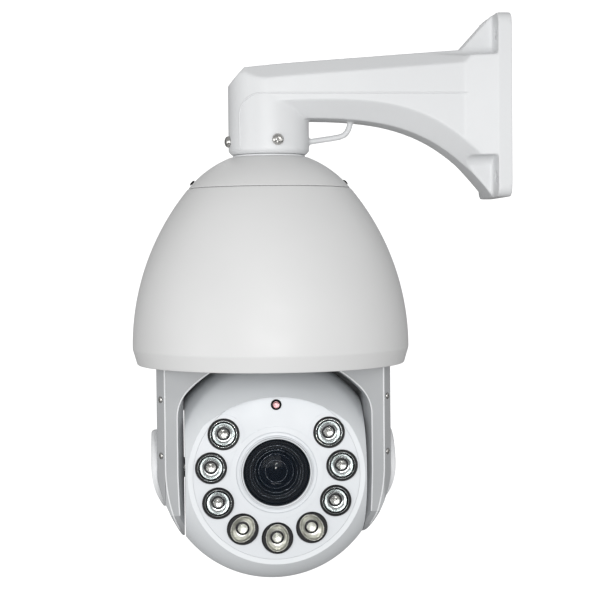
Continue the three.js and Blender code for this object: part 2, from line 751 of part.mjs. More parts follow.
add('yoke', yoke(), finishes.housingPaint);
add('right_side_cover', sideCover(), finishes.housingPaint);
add('left_side_cover', mirrored(sideCover()), finishes.housingPaint);
add('right_bearing_cap', bearingCap(), finishes.housingPaint);
add('left_bearing_cap', mirrored(bearingCap()), finishes.housingPaint);
coverScrewHeights.forEach((z, k) => {
  add(`right_cover_screw_${k + 1}`, coverScrew(z), finishes.steel);
  add(`left_cover_screw_${k + 1}`, mirrored(coverScrew(z)), finishes.steel);
});

add('right_tilt_bearing', tiltBearing(), finishes.steel);
add('left_tilt_bearing', mirrored(tiltBearing()), finishes.steel);
add('tilt_motor', tiltMotor(), finishes.innerPlastic);
add('tilt_motor_pulley', tiltMotorPulley(), finishes.aluminium);
add('tilt_belt', tiltBelt(), finishes.rubber);
add('tilt_pulley', tiltPulley(), finishes.aluminium);
add('right_tilt_shaft', tiltShaft(85), finishes.steel);
add('left_tilt_shaft', mirrored(tiltShaft(79)), finishes.steel);

add('ball_front_shell', ballFrontShell(), finishes.housingPaint);
add('ball_rear_shell', ballRearShell(), finishes.housingPaint);
add('face_plate', facePlate(), finishes.facePlastic);
add('front_window', frontWindow(), finishes.glass);
add('lamp_carrier', lampCarrier(), finishes.blackPlastic);
lampAngles.forEach((angle, k) => add(`lamp_lens_${k + 1}`, lampLens(angle), finishes.lampOptic));
add('light_sensor', lightSensor(), finishes.sensorOptic);
add('led_board', ledBoard(), finishes.board);

add('camera_chassis', cameraChassis(), finishes.innerPlastic);
add('lens_barrel', lensBarrel(), finishes.blackPlastic);
add('zoom_group', zoomGroup(), finishes.glass);
add('focus_group', focusGroup(), finishes.glass);
add('sensor_board', sensorBoard(), finishes.board);

export default assembly;
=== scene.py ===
import json
import math

import bmesh
import bpy
from mathutils import Matrix, Vector


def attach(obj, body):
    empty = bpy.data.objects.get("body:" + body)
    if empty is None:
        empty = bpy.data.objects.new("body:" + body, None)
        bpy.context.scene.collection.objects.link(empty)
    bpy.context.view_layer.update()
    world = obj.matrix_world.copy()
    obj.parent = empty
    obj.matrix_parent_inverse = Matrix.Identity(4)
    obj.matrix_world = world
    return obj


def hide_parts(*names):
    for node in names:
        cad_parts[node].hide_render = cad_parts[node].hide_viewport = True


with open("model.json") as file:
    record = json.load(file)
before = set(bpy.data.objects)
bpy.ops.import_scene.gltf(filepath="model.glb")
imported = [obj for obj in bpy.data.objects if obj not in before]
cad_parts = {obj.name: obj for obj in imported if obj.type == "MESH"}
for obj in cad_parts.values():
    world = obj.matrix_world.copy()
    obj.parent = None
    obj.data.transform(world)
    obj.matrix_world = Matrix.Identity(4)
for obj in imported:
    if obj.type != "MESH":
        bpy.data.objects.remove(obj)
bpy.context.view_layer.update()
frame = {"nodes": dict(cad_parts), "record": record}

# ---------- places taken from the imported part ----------
# Shapes are written in millimetres, from the point where the pan axis meets the tilt axis. X runs to the
# wall, Z up, and the lens looks along -Y, which is called the front.
MM = 0.001
JOINTS = {joint["name"]: joint for joint in frame["record"]["behaviour"]["joints"]}
PAN_X = JOINTS["pan"]["pos_m"][0]
TILT_Z = JOINTS["tilt"]["pos_m"][2]
WALL_X = -PAN_X / MM
PLATE_Z = -TILT_Z / MM

# ---------- dimensions ----------
GAP = 0.3
ROUND = 128
REACH = 100.0  # further out than any part of the ball

# The wall bracket.
HEAD_R = 32.2
HEAD_BOTTOM_Z = 249.0
HEAD_TOP_Z = 292
HEAD_BORE_R = 25.6
ARM_HALF_Y = 32.0
PLATE_HALF_Y = 40.0
PLATE_HALF_Z = 72.5
PLATE_CORNER_R = 9
PLATE_FRONT_X = WALL_X - 11.0
FACET_X, FACET_Z, FACET_SLOPE = -20, 317, 1.08
HEAD_SLOPE = 0.1
BEND_X, BEND_Z, ARM_SLOPE = 9.5, 320, 0.076
FLARE_X, FLARE_Z = 153, 331
ARM_LOW_Z = 277
ARCH_POWER = 3.8
TOP_CUT = 11.5
LOW_CUT, LOW_CUT_GROWTH = 12.5, 5.5
POCKET_X, POCKET_Y, POCKET_Z, POCKET_HALF = 120, 48.5, 69.5, 30
BOLT_Y, BOLT_Z, BOLT_HOLE_R = 29, 56, 4.2
CHANNEL_R, CHANNEL_START_Z, CHANNEL_DROP = 9, 298, 30
LOCK_Z = 259.5
LOCK_ANGLES = (9.0, 189.0, 279.0)
LOCK_HOLE_R = 2.8
LOOP_R = 2.4
# The tether loop under the arm: distance from the pan axis and height of each point.
LOOP_PATH = ((28, 259), (40, 260.7), (52, 262.5), (57, 263.4), (60.5, 264.8), (63, 267.2),
             (64.6, 270.4), (65.6, 274), (66.2, 281))
BEAD_Z, BEAD_TURN_R, BEAD_DOWN_X, BEAD_LOW_Z = 295.5, 16.0, -24.0, 252

# The neck, the top cap and the sunshield.
NECK_BORE_R, NECK_R, NECK_TOP_Z = 19, 25.2, 280
COLLAR_R, COLLAR_TOP_Z = 28.8, 248.6
CAP_TOP_Z = 246.9
CAP_WALL = 2.5
CAP_SCREW_Y, CAP_SCREW_Z, CAP_SCREW_LEAN = -61.1, 227, -44
SHIELD_R = 110.4
SHIELD_ARC_R = 197.2
SHIELD_ARC_Z = 96.4
SHIELD_TOP_Z = 222.1
SHIELD_BOTTOM_Z = 83.2
SHIELD_BEVEL_Z = 95.5
SHIELD_RIM_R, SHIELD_EDGE_R, SHIELD_MOUTH_R = 104.4, 106.8, 54
SHIELD_WALL = 2.5

# The yoke, its covers and the caps over its axle.
YOKE_INNER_X = 70.8
YOKE_FLARE = 4.9
YOKE_SEAM_X = 85.4
YOKE_OUTER_X = 91.5
YOKE_HALF_Y = 44.0
YOKE_END_R = 54.0
YOKE_TOP_Z = 93.2
YOKE_WALL = 3.5
TABLE_R, TABLE_TOP_Z = 96, 100
HUB_R, HUB_TOP_Z = 22, 121
MOUTH_X = 40.0
BALL_ROOM = 3.5
OPENING_DEPTH = 70
SKIRT_X = 92.0
SKIRT_TURN_Z = 5.0
SKIRT_TURN_R = 60.0
SKIRT_LEAN = 23.8
SKIRT_LOW_Z = -80.0
CHAMFER_Y = 8.0
COVER_WALL = 2.5
COVER_SCREW_Z = (58.5, 15.0)
CAP_R = 30.5
CAP_OUTER_X = 97.2
CAP_GROWTH = 4.4
BOSS_R = 6
SEAM_LEAN_Z, SEAM_LEAN_R, SEAM_LOW_Z, SEAM_BEAD_R = 5.0, 119.0, -44.0, 0.65
LIP_R = 0.55
# The highlight bead round the opening, below the tilt axis: each point's height and how far it leans inwards.
LIP_TAIL = ((-31.0, 1.134), (-24.0, 0.756), (-12.0, 0.378))

# The ball and its face.
BALL_R = 89.0
BALL_WALL = 3.0
BALL_HALF_X = 70.0
BALL_SIDE_WALL = 2.5
BALL_SEAM_Y = 20.0
AXLE_HOLE_R = 8.3
FACE_Y = 57.0
FACE_BACK_Y = 54.0
FACE_R = 64.25
FACE_STEP_Y = FACE_Y + 0.45
BROW_R = 82.1
BROW_Z = -20.6
WINDOW_R = 27.0
WINDOW_EDGE_R = WINDOW_R - 1.3
LENS_Z = 2.6
LENS_SPOT = (0.0, 0.0, LENS_Z)
ELEMENT_R, ELEMENT_BACK_Y, ELEMENT_EDGE_Y, ELEMENT_RISE = 14.6, 45.8, 47.4, 2.6
HOOD_R, HOOD_Y, HOOD_STEP = 18.4, 52.3, 0.9
# Each bright edge in the lens: name, radius, distance in front of the tilt axis, thickness.
LENS_RINGS = (
    ("lens_ring_1", 8.5, 49.62, 0.16),
    ("lens_ring_2", 13.4, 48.55, 0.13),
    ("lens_ring_3", 16.5, 50.9, 0.16),
    ("lens_ring_4", 18.5, 53.2, 0.2),
    ("lens_ring_5", 20.4, 53.6, 0.14),
)
LAMP_RING = 50.6
LAMP_ANGLES = tuple((k - 4) * 31.7 for k in range(9))
OVAL_LAMPS = (3, 4, 5)
OVAL_ACROSS, OVAL_ALONG = 0.86, 1.03
LAMP_HOLE_R = 12.3
LAMP_MOUTH_R = 10.5
BULB_R, BULB_EDGE_Y, BULB_RISE = 3.75, 54.2, 3.2
SENSOR_Z = LENS_Z + 52.3
SENSOR_DOME_R, SENSOR_DOME_Y = 2.6, 57.0

# The stage: the camera's turn in degrees and its place in metres.
CAMERA_AZIMUTH, CAMERA_PITCH, CAMERA_ROLL = -4.8, -2.07, -0.55
CAMERA_DISTANCE, CAMERA_ASIDE, CAMERA_ABOVE = 1.164, 0.0238, 0.175
CAMERA_LENS = 87
SKY_ON_OBJECT = 0.46
ACRYLIC_IOR = 1.49
PAPER_GREY = 0.45


# ---------- materials ----------
def node_material(name):
    material = bpy.data.materials.new(name)
    material.use_nodes = True
    tree = material.node_tree
    shader = tree.nodes["Principled BSDF"]
    return material, tree, shader


def noise(tree, scale, detail=3.0):
    place_node = tree.nodes.new("ShaderNodeTexCoord")
    texture = tree.nodes.new("ShaderNodeTexNoise")
    texture.inputs["Scale"].default_value = scale
    texture.inputs["Detail"].default_value = detail
    tree.links.new(place_node.outputs["Object"], texture.inputs["Vector"])
    return texture.outputs["Fac"]


def spread(tree, source, low, high):
    """Stretches the middle of a noise to the two given values."""
    ranged = tree.nodes.new("ShaderNodeMapRange")
    ranged.inputs["From Min"].default_value = 0.3
    ranged.inputs["From Max"].default_value = 0.7
    ranged.inputs["To Min"].default_value = low
    ranged.inputs["To Max"].default_value = high
    tree.links.new(source, ranged.inputs["Value"])
    return ranged.outputs["Result"]


def blended_colour(tree, source, first, second, low=0.3, high=0.7):
    ramp = tree.nodes.new("ShaderNodeValToRGB")
    ramp.color_ramp.elements[0].position = low
    ramp.color_ramp.elements[0].color = (*first, 1.0)
    ramp.color_ramp.elements[1].position = high
    ramp.color_ramp.elements[1].color = (*second, 1.0)
    tree.links.new(source, ramp.inputs["Fac"])
    return ramp.outputs["Color"]


def bumps(tree, shader, source, strength, distance):
    bump = tree.nodes.new("ShaderNodeBump")
    bump.inputs["Strength"].default_value = strength
    bump.inputs["Distance"].default_value = distance
    tree.links.new(source, bump.inputs["Height"])
    tree.links.new(bump.outputs["Normal"], shader.inputs["Normal"])


def painted(name, colour, roughness, grain_scale, grain, coat=0.0, grime=0.03, shine=0.5):
    """Paint or moulded plastic: fine grain, uneven gloss and a trace of grime in soft patches."""
    material, tree, shader = node_material(name)
    dulled = tuple(channel * (1.0 - grime) for channel in colour)
    tint = blended_colour(tree, noise(tree, 14.0), dulled, colour)
    tree.links.new(tint, shader.inputs["Base Color"])
    gloss = spread(tree, noise(tree, 60.0), roughness - 0.04, roughness + 0.05)
    tree.links.new(gloss, shader.inputs["Roughness"])
    shader.inputs["Specular IOR Level"].default_value = shine
    shader.inputs["Coat Weight"].default_value = coat
    shader.inputs["Coat Roughness"].default_value = 0.25
    bumps(tree, shader, noise(tree, grain_scale, 2.0), grain, 0.0002)
    return material


def metal(name, colour, roughness, streak_scale=900.0, ripple=0.08):
    """Turned, brushed or pressed metal with fine streaks, uneven polish and a rippled surface."""
    material, tree, shader = node_material(name)
    shader.inputs["Metallic"].default_value = 1.0
    darker = tuple(channel * 0.8 for channel in colour)
    tint = blended_colour(tree, noise(tree, 220.0), darker, colour)
    tree.links.new(tint, shader.inputs["Base Color"])
    gloss = spread(tree, noise(tree, streak_scale), roughness - 0.06, roughness + 0.1)
    tree.links.new(gloss, shader.inputs["Roughness"])
    bumps(tree, shader, noise(tree, streak_scale), ripple, 0.0001)
    return material


def clear(name, tint, roughness):
    """Clear optic with a trace of haze on its surface."""
    material, tree, shader = node_material(name)
    shader.inputs["Transmission Weight"].default_value = 1.0
    shader.inputs["IOR"].default_value = ACRYLIC_IOR
    haze = blended_colour(tree, noise(tree, 90.0), tint, tuple(min(1.0, c * 1.04) for c in tint))
    tree.links.new(haze, shader.inputs["Base Color"])
    gloss = spread(tree, noise(tree, 150.0), roughness, roughness + 0.02)
    tree.links.new(gloss, shader.inputs["Roughness"])
    return material


def thin_pane(name, tint, cover):
    """Thin tinted window: mostly see-through, with a faint cloud of haze, and no bending of light."""
    material, tree, shader = node_material(name)
    haze = blended_colour(tree, noise(tree, 90.0), tint, tuple(channel * 1.3 for channel in tint))
    tree.links.new(haze, shader.inputs["Base Color"])
    gloss = spread(tree, noise(tree, 150.0), 0.0, 0.02)
    tree.links.new(gloss, shader.inputs["Roughness"])
    shader.inputs["Specular IOR Level"].default_value = 0.04
    shader.inputs["Alpha"].default_value = cover
    return material


def coated_glass(name, dark, glow):
    """Front element of the zoom lens: dark, very glossy, with a coloured coating seen at an angle."""
    material, tree, shader = node_material(name)
    facing = tree.nodes.new("ShaderNodeLayerWeight")
    facing.inputs["Blend"].default_value = 0.35
    tint = blended_colour(tree, facing.outputs["Facing"], dark, glow, 0.1, 0.9)
    tree.links.new(tint, shader.inputs["Base Color"])
    gloss = spread(tree, noise(tree, 120.0), 0.0, 0.04)
    tree.links.new(gloss, shader.inputs["Roughness"])
    shader.inputs["Specular IOR Level"].default_value = 0.2
    return material


def circuit(name, lacquer):
    """Lacquered board with a faint cloud of tracks under the green."""
    material, tree, shader = node_material(name)
    cells = tree.nodes.new("ShaderNodeTexVoronoi")
    place_node = tree.nodes.new("ShaderNodeTexCoord")
    cells.inputs["Scale"].default_value = 260.0
    tree.links.new(place_node.outputs["Object"], cells.inputs["Vector"])
    bright = tuple(min(1.0, channel * 2.0) for channel in lacquer)
    tint = blended_colour(tree, cells.outputs["Distance"], lacquer, bright, 0.0, 0.6)
    tree.links.new(tint, shader.inputs["Base Color"])
    gloss = spread(tree, noise(tree, 80.0), 0.35, 0.55)
    tree.links.new(gloss, shader.inputs["Roughness"])
    return material


# Paint and plastic: name, colour, roughness, then the grain's scale and strength.
MATERIALS = {
    "bracket_paint": painted("bracket_paint", (0.74, 0.75, 0.76), 0.42, 1500.0, 0.12),
    "shield_plastic": painted("shield_plastic", (0.72, 0.722, 0.72), 0.48, 1800.0, 0.10),
    "housing_paint": painted("housing_paint", (0.76, 0.785, 0.805), 0.45, 1600.0, 0.10),
    "face_plastic": painted("face_plastic", (0.68, 0.705, 0.73), 0.36, 2200.0, 0.05, coat=0.2, grime=0.015),
    "black_plastic": painted("black_plastic", (0.006, 0.006, 0.007), 0.35, 2000.0, 0.06, grime=0.2, shine=0.2),
    "inner_plastic": painted("inner_plastic", (0.045, 0.046, 0.05), 0.5, 1400.0, 0.15, grime=0.2),
    "rubber": painted("rubber", (0.018, 0.018, 0.018), 0.75, 900.0, 0.3, grime=0.3),
    "bare_aluminium": metal("bare_aluminium", (0.80, 0.81, 0.82), 0.32),
    "stainless_steel": metal("stainless_steel", (0.62, 0.61, 0.59), 0.22),
    "reflector": metal("reflector", (0.60, 0.63, 0.63), 0.12, streak_scale=320.0, ripple=1.0),
    "satin_reflector": metal("satin_reflector", (0.95, 0.95, 0.87), 0.4, streak_scale=300.0, ripple=0.5),
    # The yoke's paint is the housing paint darkened: painted shade for the shade the sunshield casts on the
    # yoke.
    "yoke_shaded_paint": painted("yoke_shaded_paint", (0.40, 0.41, 0.42), 0.45, 1600.0, 0.10),
    "cap_paint": painted("cap_paint", (0.78, 0.79, 0.80), 0.42, 1600.0, 0.10),
    # The lip beads are lighter than the yoke's paint: painted highlights along the yoke's edges.
    "lip_highlight_paint": painted("lip_highlight_paint", (0.80, 0.81, 0.82), 0.4, 1600.0, 0.05),
    "lens_edge": metal("lens_edge", (0.55, 0.60, 0.67), 0.22),
    "dark_glass": coated_glass("dark_glass", (0.006, 0.008, 0.014), (0.035, 0.05, 0.09)),
    "window_glass": thin_pane("window_glass", (0.008, 0.012, 0.018), 0.3),
    "lamp_optic": clear("lamp_optic", (0.96, 0.97, 0.96), 0.01),
    "sensor_optic": clear("sensor_optic", (0.85, 0.62, 0.66), 0.06),
    "circuit_board": circuit("circuit_board", (0.02, 0.11, 0.05)),
}


# ---------- mesh helpers ----------
def placed(point):
    return (PAN_X + point[0] * MM, point[1] * MM, TILT_Z + point[2] * MM)


PIVOT = Vector(placed((0, 0, 0)))


def mesh_object(name, vertices, faces):
    """A mesh from local millimetres, welded and with its faces turned outwards."""
    mesh = bpy.data.meshes.new(name)
    mesh.from_pydata([placed(v) for v in vertices], [], faces)
    tidy = bmesh.new()
    tidy.from_mesh(mesh)
    bmesh.ops.remove_doubles(tidy, verts=tidy.verts, dist=1e-7)
    bmesh.ops.recalc_face_normals(tidy, faces=tidy.faces)
    if tidy.calc_volume(signed=True) < 0.0:
        bmesh.ops.reverse_faces(tidy, faces=tidy.faces)
    tidy.to_mesh(mesh)
    tidy.free()
    made = bpy.data.objects.new(name, mesh)
    bpy.context.scene.collection.objects.link(made)
    return made


def bake(item):
    """Applies an object's modifiers to its mesh."""
    graph = bpy.context.evaluated_depsgraph_get()
    graph.update()
    baked = bpy.data.meshes.new_from_object(item.evaluated_get(graph))
    item.modifiers.clear()
    old = item.data
    item.data = baked
    bpy.data.meshes.remove(old)
    return item


def combine(target, tools, operation):
    for tool in tools:
        step = target.modifiers.new("combine", "BOOLEAN")
        step.operation = operation
        step.object = tool
        step.solver = "MANIFOLD"
        bake(target)
        bpy.data.objects.remove(tool)
    return target


def unite(target, *tools):
    return combine(target, tools, "UNION")


def carve(target, *tools):
    return combine(target, tools, "DIFFERENCE")


def keep_inside(target, *tools):
    return combine(target, tools, "INTERSECT")


def soften_edges(item, width, segments=3, angle=30.0):
    bevel = item.modifiers.new("bevel", "BEVEL")
    bevel.width = width * MM
    bevel.segments = segments
    bevel.limit_method = "ANGLE"
    bevel.angle_limit = math.radians(angle)
    bevel.use_clamp_overlap = True
    bevel.miter_outer = "MITER_ARC"
    return item


def smooth_cast(item, voxel, rounds):
    """Rounds every edge of a casting a little, as its mould and paint do."""
    remesh = item.modifiers.new("remesh", "REMESH")
    remesh.mode = "VOXEL"
    remesh.voxel_size = voxel * MM
    smooth = item.modifiers.new("smooth", "SMOOTH")
    smooth.factor = 0.5
    smooth.iterations = rounds
    return bake(item)


def about_pan(change):
    """The same change, made about the pan axis."""
    return Matrix.Translation((PAN_X, 0, 0)) @ change @ Matrix.Translation((-PAN_X, 0, 0))


def turn_about_pan(item, degrees):
    item.data.transform(about_pan(Matrix.Rotation(math.radians(degrees), 4, "Z")))
    return item


def moved(item, change):
    """Moves a shape that was made round the pivot."""
    item.data.transform(change @ Matrix.Translation(-PIVOT))
    return item


def side_name(mirror):
    return "left" if mirror else "right"


def finished(item, name, body, slot, replaced=(), material=None, crease=40.0, mirror=False):
    """Names a piece, gives it its material and shading, ties it to its body and hides the CAD nodes it
    replaces.
    """
    item.name = name
    item.data.name = name
    if mirror:
        item.data.transform(about_pan(Matrix.Diagonal((-1, 1, 1, 1))))
        item.data.flip_normals()
    item.data.materials.clear()
    item.data.materials.append(MATERIALS[material or slot])
    item.data.polygons.foreach_set("use_smooth", [True] * len(item.data.polygons))
    item.data.set_sharp_from_angle(angle=math.radians(crease))
    weighted = item.modifiers.new("weighted", "WEIGHTED_NORMAL")
    weighted.keep_sharp = True
    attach(item, body)
    if replaced:
        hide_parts(*replaced)
    return item


def toward(start, end, length):
    """A point on the way from start to end, at most a little short of halfway."""
    span = math.hypot(end[0] - start[0], end[1] - start[1])
    share = min(length / span, 0.45) if span > 0 else 0.0
    return (start[0] + (end[0] - start[0]) * share, start[1] + (end[1] - start[1]) * share)


def softened(points, size, closed=True, steps=3, least_turn=20.0):
    """Rounds the sharp corners of an outline."""
    count = len(points)
    result = []
    for k, corner in enumerate(points):
        if not closed and k in (0, count - 1):
            result.append(corner)
            continue
        before, after = points[k - 1], points[(k + 1) % count]
        first = math.atan2(corner[1] - before[1], corner[0] - before[0])
        second = math.atan2(after[1] - corner[1], after[0] - corner[0])
        turn = abs((math.degrees(second - first) + 180.0) % 360.0 - 180.0)
        if turn < least_turn:
            result.append(corner)
            continue
        a, b = toward(corner, before, size), toward(corner, after, size)
        for step in range(steps + 1):
            t = step / steps
            result.append(tuple(
                (1 - t) ** 2 * a[i] + 2 * t * (1 - t) * corner[i] + t ** 2 * b[i] for i in (0, 1)
            ))
    return result


def arc(centre, radius, start, end, count):
    angles = [math.radians(start + (end - start) * k / count) for k in range(count + 1)]
    return [(centre[0] + radius * math.cos(a), centre[1] + radius * math.sin(a)) for a in angles]


AXES = {
    "z": lambda r, a, h: (r * math.cos(a), r * math.sin(a), h),
    "x": lambda r, a, h: (h, r * math.cos(a), r * math.sin(a)),
    "front": lambda r, a, h: (r * math.cos(a), -h, r * math.sin(a)),
}


def turned(outline, axis="z", sides=ROUND, shift=(0.0, 0.0, 0.0)):
    """Turns [radius, height] points about an axis. Ends on the axis close to a point."""
    spin = AXES[axis]
    vertices, rings = [], []
    for radius, height in outline:
        count = 1 if radius < 1e-6 else sides
        rings.append((len(vertices), count))
        for k in range(count):
            x, y, z = spin(radius, 2 * math.pi * k / sides, height)
            vertices.append((x + shift[0], y + shift[1], z + shift[2]))
    faces = []
    open_ended = rings[0][1] == 1 and rings[-1][1] == 1
    pairs = list(zip(rings, rings[1:])) + ([] if open_ended else [(rings[-1], rings[0])])
    for (low, low_count), (high, high_count) in pairs:
        for k in range(sides):
            n = (k + 1) % sides
            corners = [low + k % low_count, low + n % low_count, high + n % high_count, high + k % high_count]
            face = list(dict.fromkeys(corners))
            if len(face) > 2:
                faces.append(face)
    return mesh_object("turned", vertices, faces)


def dome(radius, edge, rise, low, step):
    """An outline that climbs from near the edge of a dome to its top. The two last values are in degrees."""
    angles = [math.radians(degrees) for degrees in range(low, 90, step)]
    return [(radius * math.cos(a), edge + rise * math.sin(a)) for a in angles] + [(0, edge + rise)]


def disc_tool(radius, low, high, axis="z", sides=64, shift=(0.0, 0.0, 0.0)):
    return turned([(0, low), (radius, low), (radius, high), (0, high)], axis, sides, shift)


def skinned(sections):
    """A closed body through a row of cuts with the same number of points."""
    count = len(sections[0])
    vertices = [point for section in sections for point in section]
    faces = []
    for row in range(len(sections) - 1):
        for k in range(count):
            a, b = row * count + k, row * count + (k + 1) % count
            faces.append((a, b, b + count, a + count))
    faces.append(tuple(range(count)))
    faces.append(tuple(range((len(sections) - 1) * count, len(sections) * count)))
    return mesh_object("skinned", vertices, faces)


def pushed_x(outline, low, high):
    return skinned([[(x, y, z) for y, z in outline] for x in (low, high)])


def pushed_y(outline, low, high):
    return skinned([[(x, y, z) for x, z in outline] for y in (low, high)])


def pushed_z(outline, low, high):
    return skinned([[(x, y, z) for x, y in outline] for z in (low, high)])


def block(low, high):
    outline = [(low[0], low[1]), (high[0], low[1]), (high[0], high[1]), (low[0], high[1])]
    return pushed_z(outline, low[2], high[2])


def rounded_rectangle(half_a, half_b, radius, steps=8):
    corners = ((1, 1, 0), (-1, 1, 90), (-1, -1, 180), (1, -1, 270))
    points = []
    for sign_a, sign_b, start in corners:
        centre = (sign_a * (half_a - radius), sign_b * (half_b - radius))
        points += arc(centre, radius, start, start + 90, steps)
    return points


def bar(points, radius, sides=12):
    """A closed round bar along a run of points."""
    path = [Vector(p) for p in points]
    sections = []
    guide = Vector((0, 1, 0))
    for k, point in enumerate(path):
        ahead = (path[min(k + 1, len(path) - 1)] - path[max(k - 1, 0)]).normalized()
        side = guide - ahead * guide.dot(ahead)
        if side.length < 0.1:
            side = Vector((1, 0, 0)) - ahead * ahead.x
        side.normalize()
        up = ahead.cross(side)
        sections.append([
            tuple(point + side * radius * math.cos(a) + up * radius * math.sin(a))
            for a in (2 * math.pi * s / sides for s in range(sides))
        ])
    return skinned(sections)


# ---------- wall bracket ----------
def flare_share(x):
    """How far along the flare towards the wall plate a point is: 0 at its start, 1 at the plate."""
    return max(0.0, (x - FLARE_X) / (PLATE_FRONT_X - FLARE_X))


def arm_half(x):
    return ARM_HALF_Y + flare_share(x) * (PLATE_HALF_Y - ARM_HALF_Y)


def arm_top(x):
    """The arm's top edge: a steep facet on the head, two gentle slopes, then the flare up to the plate."""
    if x < FACET_X:
        return FACET_Z + (x - FACET_X) * FACET_SLOPE
    if x < BEND_X:
        return FACET_Z + (x - FACET_X) * HEAD_SLOPE
    if x < FLARE_X:
        return BEND_Z + (x - BEND_X) * ARM_SLOPE
    return FLARE_Z + flare_share(x) * (PLATE_Z + PLATE_HALF_Z - FLARE_Z)


def arm_bottom(x):
    """The arch under the arm, which drops ever faster towards the plate's lower edge."""
    sweep = max(x, 0) / PLATE_FRONT_X
    return ARM_LOW_Z - (ARM_LOW_Z - PLATE_Z + PLATE_HALF_Z) * sweep ** ARCH_POWER


def arm_section(x):
    """An eight-sided cut through the arm."""
    half, top, low = arm_half(x), arm_top(x), arm_bottom(x)
    low_cut = LOW_CUT + LOW_CUT_GROWTH * max(x, 0) / PLATE_FRONT_X
    return [
        (x, half - TOP_CUT, top), (x, TOP_CUT - half, top), (x, -half, top - TOP_CUT),
        (x, -half, low + low_cut), (x, low_cut - half, low), (x, half - low_cut, low),
        (x, half, low + low_cut), (x, half, top - TOP_CUT),
    ]


def arm_body():
    stations = [-33 + k * 6.5 for k in range(29)]
    stations += [FLARE_X + k * 4 for k in range(6)] + [PLATE_FRONT_X + 0.5]
    arm = skinned([arm_section(x) for x in stations])
    reach = PLATE_HALF_Y + 5
    plan = arc((0, 0), HEAD_R, 90, 270, 48) + [(0, -reach), (WALL_X, -reach), (WALL_X, reach), (0, reach)]
    return keep_inside(arm, pushed_z(plan, 200, 400))


def bracket_head():
    return turned([
        (0, HEAD_BOTTOM_Z), (HEAD_R - 2.6, HEAD_BOTTOM_Z), (HEAD_R, HEAD_BOTTOM_Z + 3),
        (HEAD_R, HEAD_TOP_Z), (0, HEAD_TOP_Z),
    ])


def wall_plate():
    corners = rounded_rectangle(PLATE_HALF_Y, PLATE_HALF_Z, PLATE_CORNER_R)
    return pushed_x([(y, z + PLATE_Z) for y, z in corners], PLATE_FRONT_X, WALL_X)


def bolt_tools():
    """For each corner of the flare, the pocket for the bolt's head and the hole through the plate."""
    tools = []
    for side in (1, -1):
        for up in (1, -1):
            y, z = side * POCKET_Y, PLATE_Z + up * POCKET_Z
            corners = rounded_rectangle(POCKET_HALF, POCKET_HALF, PLATE_CORNER_R)
            tools.append(pushed_x([(a + y, b + z) for a, b in corners], POCKET_X, PLATE_FRONT_X))
            spot = (0, side * BOLT_Y, PLATE_Z + up * BOLT_Z)
            tools.append(disc_tool(BOLT_HOLE_R, PLATE_FRONT_X - 10, WALL_X + 5, "x", 32, spot))
    return tools


def cable_channel():
    """The sloping bore from the head out through the wall plate."""
    channel = disc_tool(CHANNEL_R, -4, 215, "x", 32)
    slope = Matrix.Rotation(math.atan2(CHANNEL_DROP, WALL_X), 4, "Y")
    return moved(channel, Matrix.Translation(PIVOT + Vector((0, 0, CHANNEL_START_Z * MM))) @ slope)


def lock_hole(angle):
    return turn_about_pan(disc_tool(LOCK_HOLE_R, 20, 40, "front", 32, (0, 0, LOCK_Z)), angle)


def wall_bracket():
    arm = arm_body()
    loop = bar([(x, 0, z) for x, z in LOOP_PATH], LOOP_R, 16)
    unite(arm, bracket_head(), wall_plate(), loop)
    carve(arm, *bolt_tools(), disc_tool(HEAD_BORE_R, 240, 290))
    carve(arm, cable_channel())
    for angle in LOCK_ANGLES:
        carve(arm, lock_hole(angle))
    smooth_cast(arm, 1.0, 5)
    finished(arm, "wall_bracket_cast", "fixed_part", "bracket_paint", ("wall_bracket",), crease=180)
    for side in (-1, 1):
        bead_line(side)


def bead_line(side):
    """The thin raised line cast along the side of the arm and down the head. It sinks into the flare."""
    def place(x, z):
        round_end = math.sqrt(max(0.0, HEAD_R ** 2 - min(x, 0) ** 2))
        return (x, side * (min(arm_half(x), round_end) - 0.05), z)
    outline = [(BEAD_DOWN_X, BEAD_LOW_Z + k * 4.6) for k in range(6)]
    outline += arc((BEAD_DOWN_X + BEAD_TURN_R, BEAD_Z - BEAD_TURN_R), BEAD_TURN_R, 90, 180, 10)[::-1]
    outline += [(x, BEAD_Z) for x in (0, 40, 80, 120, 152.5, 153.5, 166, PLATE_FRONT_X + 0.3)]
    end = "front" if side < 0 else "rear"
    line = bar([place(x, z) for x, z in outline], 0.7, 8)
    finished(line, f"bracket_bead_{end}", "fixed_part", "bracket_paint", crease=180)


# ---------- neck, cap, sunshield ----------
def neck_adapter():
    seat = CAP_TOP_Z + 0.2
    outline = [
        (NECK_BORE_R, seat), (COLLAR_R, seat), (COLLAR_R, COLLAR_TOP_Z), (NECK_R, COLLAR_TOP_Z),
        (NECK_R, NECK_TOP_Z), (NECK_BORE_R, NECK_TOP_Z),
    ]
    finished(turned(softened(outline, 0.4)), "neck_collar", "fixed_part", "bare_aluminium",
             ("neck_adapter",), material="bracket_paint")


def shield_r(z, inset=0.0):
    return SHIELD_R - SHIELD_ARC_R + math.sqrt((SHIELD_ARC_R - inset) ** 2 - (z - SHIELD_ARC_Z) ** 2)


def shield_side(inset, low, high, steps):
    heights = [low + (high - low) * k / steps for k in range(steps + 1)]
    return [(shield_r(z, inset), z) for z in heights]


def sunshield():
    outside = shield_side(0, SHIELD_BEVEL_Z, SHIELD_TOP_Z, 40)
    inside = shield_side(SHIELD_WALL, SHIELD_BEVEL_Z + 1, SHIELD_TOP_Z - SHIELD_WALL, 20)[::-1]
    outline = [(SHIELD_RIM_R, SHIELD_BOTTOM_Z), (SHIELD_EDGE_R, SHIELD_BOTTOM_Z), *outside]
    outline += [(SHIELD_MOUTH_R, SHIELD_TOP_Z), (SHIELD_MOUTH_R, SHIELD_TOP_Z - SHIELD_WALL), *inside]
    item = turned(softened(outline, 0.9, least_turn=12.0), sides=192)
    finished(item, "sunshield_shell", "fixed_part", "shield_plastic", ("sunshield",), crease=180)


